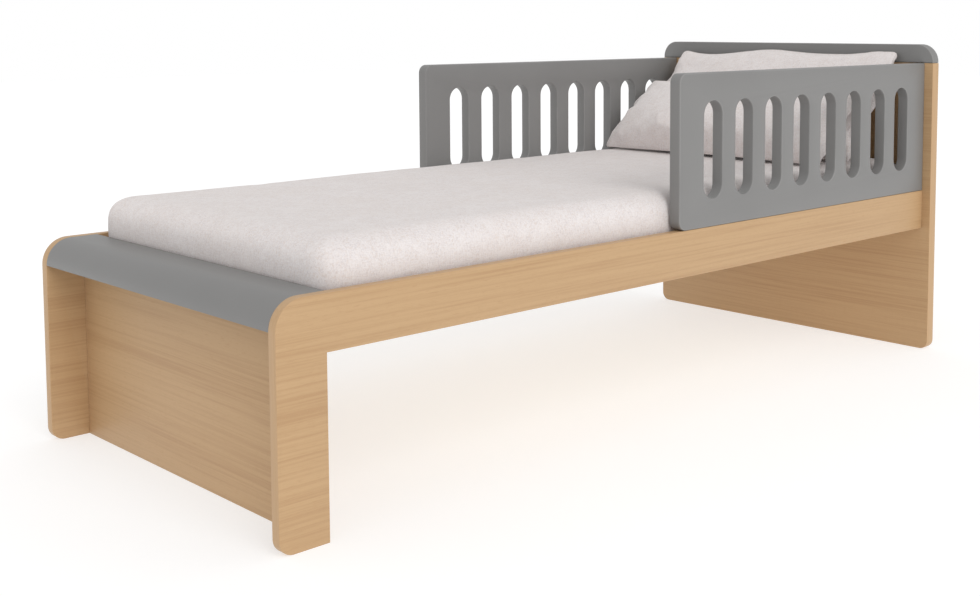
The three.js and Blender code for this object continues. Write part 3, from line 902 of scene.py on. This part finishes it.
# Stretches each row and column of the swollen bag so that its seam follows the wanted outline.
def fitOutline(points, index, along, across, settings):
    length, width, pull = settings["length"], settings["width"], settings["sidePull"]
    blunt, spare, ease = (pillowCloth[key] for key in ("bluntCorner", "spare", "seamEase"))
    long, wide = pillowCloth["bluntAlong"], pillowCloth["bluntAcross"]
    heights = np.array(settings["topSeam"]) * mm
    stations = np.linspace(-1, 1, len(heights))
    xs, ys, zs = points.T.copy()
    keys = list(index)
    for j in range(across + 1):
        b = 2 * j / across - 1
        first, last = xs[index[(0, j, 0)]], xs[index[(along, j, 0)]]
        foot = 0.5 * pull * (1 - b ** 2)
        smooth = sum(np.interp(b + d, stations, heights) for d in (-ease, 0, ease)) / 3
        top = length + smooth - blunt * max(0, (abs(b) - wide) / (1 - wide)) ** 2
        for key in (k for k in keys if k[1] == j):
            at = index[key]
            part = (xs[at] - first) / (last - first)
            # nothing bulges past the seam
            part = min(max(part, spare * key[0] / along), 1 - spare * (1 - key[0] / along))
            points[at, 0] = foot + part * (top - foot)
    for i in range(along + 1):
        a = 2 * i / along - 1
        first, last = ys[index[(i, 0, 0)]], ys[index[(i, across, 0)]]
        half = width / 2 - pull * (1 - a ** 4)
        half -= blunt * max(0, (abs(a) - long) / (1 - long)) ** 2
        for key in (k for k in keys if k[0] == i):
            at = index[key]
            points[at, 1] = -half + (ys[at] - first) * 2 * half / (last - first)
    # the seam's own ripples out of its plane fade away over a few cells
    reach = pillowCloth["flatSeam"]
    for i, j, face in keys:
        at = index[(i, j, face)]
        for edge, far in (((0, j), i), ((along, j), along - i),
                          ((i, 0), j), ((i, across), across - j)):
            ripple = zs[index[(*edge, 0)]]
            points[at, 2] -= pillowCloth["flatten"] * ripple * math.exp(-far / reach)
    calmTop(points, index, along, across)


# Evens out the puckers that run down from the top seam, most strongly beside it.
def calmTop(points, index, along, across):
    wide = pillowCloth["calmReach"]
    for back in range(pillowCloth["calmRows"]):
        strength = pillowCloth["calm"] * (1 - back / pillowCloth["calmRows"])
        for side in (1, -1):
            row = [index[(along - back, j, side)] if back else index[(along, j, 0)]
                   for j in range(1, across)]
            heights = points[row, 2]
            padded = np.pad(heights, wide, mode="edge")
            even = np.convolve(padded, np.ones(2 * wide + 1) / (2 * wide + 1), "valid")
            points[row, 2] += strength * (even - heights)


def makePillow(name, settings, behind=None):
    length, width = settings["length"], settings["width"]
    piece, index, along, across = sewnBag(
        name, length * pillowCloth["slackLong"], width * pillowCloth["slackWide"],
        pillowCloth["cell"], pillowCloth["edge"])
    inflate(piece, pillowCloth["pressure"], pillowCloth["frames"], pillowCloth["reach"],
            pillowCloth["stiffness"], pillowCloth["bending"])
    points = readPoints(piece.data)
    low, high = points.min(0), points.max(0)
    fitOutline(points, index, along, across, settings)
    share = points[:, 0] / length
    heavier = 1 + settings["sag"] * (1 - 2 * share)
    if high[2] > 3 * mm:
        points[:, 2] *= np.where(points[:, 2] > 0, settings["front"] / high[2],
                                 settings["back"] / -low[2]) * heavier
    soft = smoothNoise(points, pillowCloth["lumpSize"], settings["seed"]) * pillowCloth["lump"]
    points[:, 2] += soft * np.sin(np.pi * np.clip(share, 0, 1))
    writePoints(piece.data, points)
    ring = [(i, 1) for i in range(1, along)] + [(along - 1, j) for j in range(2, across)]
    ring += [(i, across - 1) for i in range(along - 2, 0, -1)]
    ring += [(1, j) for j in range(across - 2, 1, -1)]
    ring = [index[(i, j, 1)] for i, j in ring]
    subdivide(piece)

    points = readPoints(piece.data)
    turn = math.radians(settings["tilt"])
    x = points[:, 0] * math.cos(turn) - points[:, 2] * math.sin(turn)
    z = points[:, 0] * math.sin(turn) + points[:, 2] * math.cos(turn)
    x += headboardFace - settings["foot"]
    z += mattressTop + rest["lift"]
    floor = mattressTop + rest["floorGap"]
    z = floor + softFloor(z - floor, rest["floorEase"])
    wall = headboardFace - rest["wallGap"]
    x = wall - softFloor(wall - x, rest["wallEase"])
    points = np.stack([x, points[:, 1], z], axis=1)
    if behind is not None:
        points = restOn(points, behind, rest["pillowGap"])
    writePoints(piece.data, points)
    piece.data.materials.append(heather)
    for face in piece.data.polygons:
        face.use_smooth = True
    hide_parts(settings["node"])
    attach(piece, settings["node"])
    makeStitches(f"{name}Stitches", piece, ring, settings["node"])
    return piece


# Heights below zero are pressed up to it, easing over a soft edge.
def softFloor(height, edge):
    return 0.5 * (height + np.sqrt(height ** 2 + edge ** 2)) - edge / 2 * np.exp(
        -np.maximum(height, 0) / edge)


# Points inside another soft piece are pushed out to its surface.
def restOn(points, other, gap):
    graph = bpy.context.evaluated_depsgraph_get()
    surface = BVHTree.FromObject(other, graph)
    for i, point in enumerate(points):
        place, normal, _, _ = surface.find_nearest(Vector(point), rest["search"])
        if place is None:
            continue
        side = (Vector(point) - place).dot(normal)
        if side < gap:
            points[i] = place + normal * gap
    return points


# A row of short stitches, on the front only, along a closed run of a piece's own points.
def makeStitches(name, piece, ring, body):
    points = readPoints(piece.data)
    normals = np.empty(len(points) * 3)
    piece.data.vertices.foreach_get("normal", normals)
    normals = normals.reshape(-1, 3)
    line = [tuple(points[k] + normals[k] * stitch["lift"]) for k in ring]
    made = growFrom(name, line, [(k, (k + 1) % len(line)) for k in range(len(line))],
                    stitchTree, {"Pitch": stitch["pitch"], "Length": stitch["length"],
                                 "Thickness": stitch["thickness"]})
    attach(made, body)


makeMattress(mattress)
rearPillow = makePillow("rearPillow", pillows["rearPillow"])
makePillow("frontPillow", pillows["frontPillow"], rearPillow)


print("floor")


def makeFloor(settings):
    half = settings["floorSize"] / 2
    corners = [(-half, -half, 0), (half, -half, 0), (half, half, 0), (-half, half, 0)]
    mesh = bpy.data.meshes.new("floor")
    mesh.from_pydata(corners, [], [(0, 1, 2, 3)])
    finish = Finish("paleFloor", Roughness=0.9, Emission_Color=(1, 1, 1),
                    Emission_Strength=settings["floorGlow"])
    cast = finish.noise(finish.place(), 3, 2)
    finish.set(Base_Color=finish.mix(cast, settings["floorColour"], settings["floorDrift"]))
    mesh.materials.append(finish.material)
    floor = bpy.data.objects.new("floor", mesh)
    scene.collection.objects.link(floor)


makeFloor(studio)
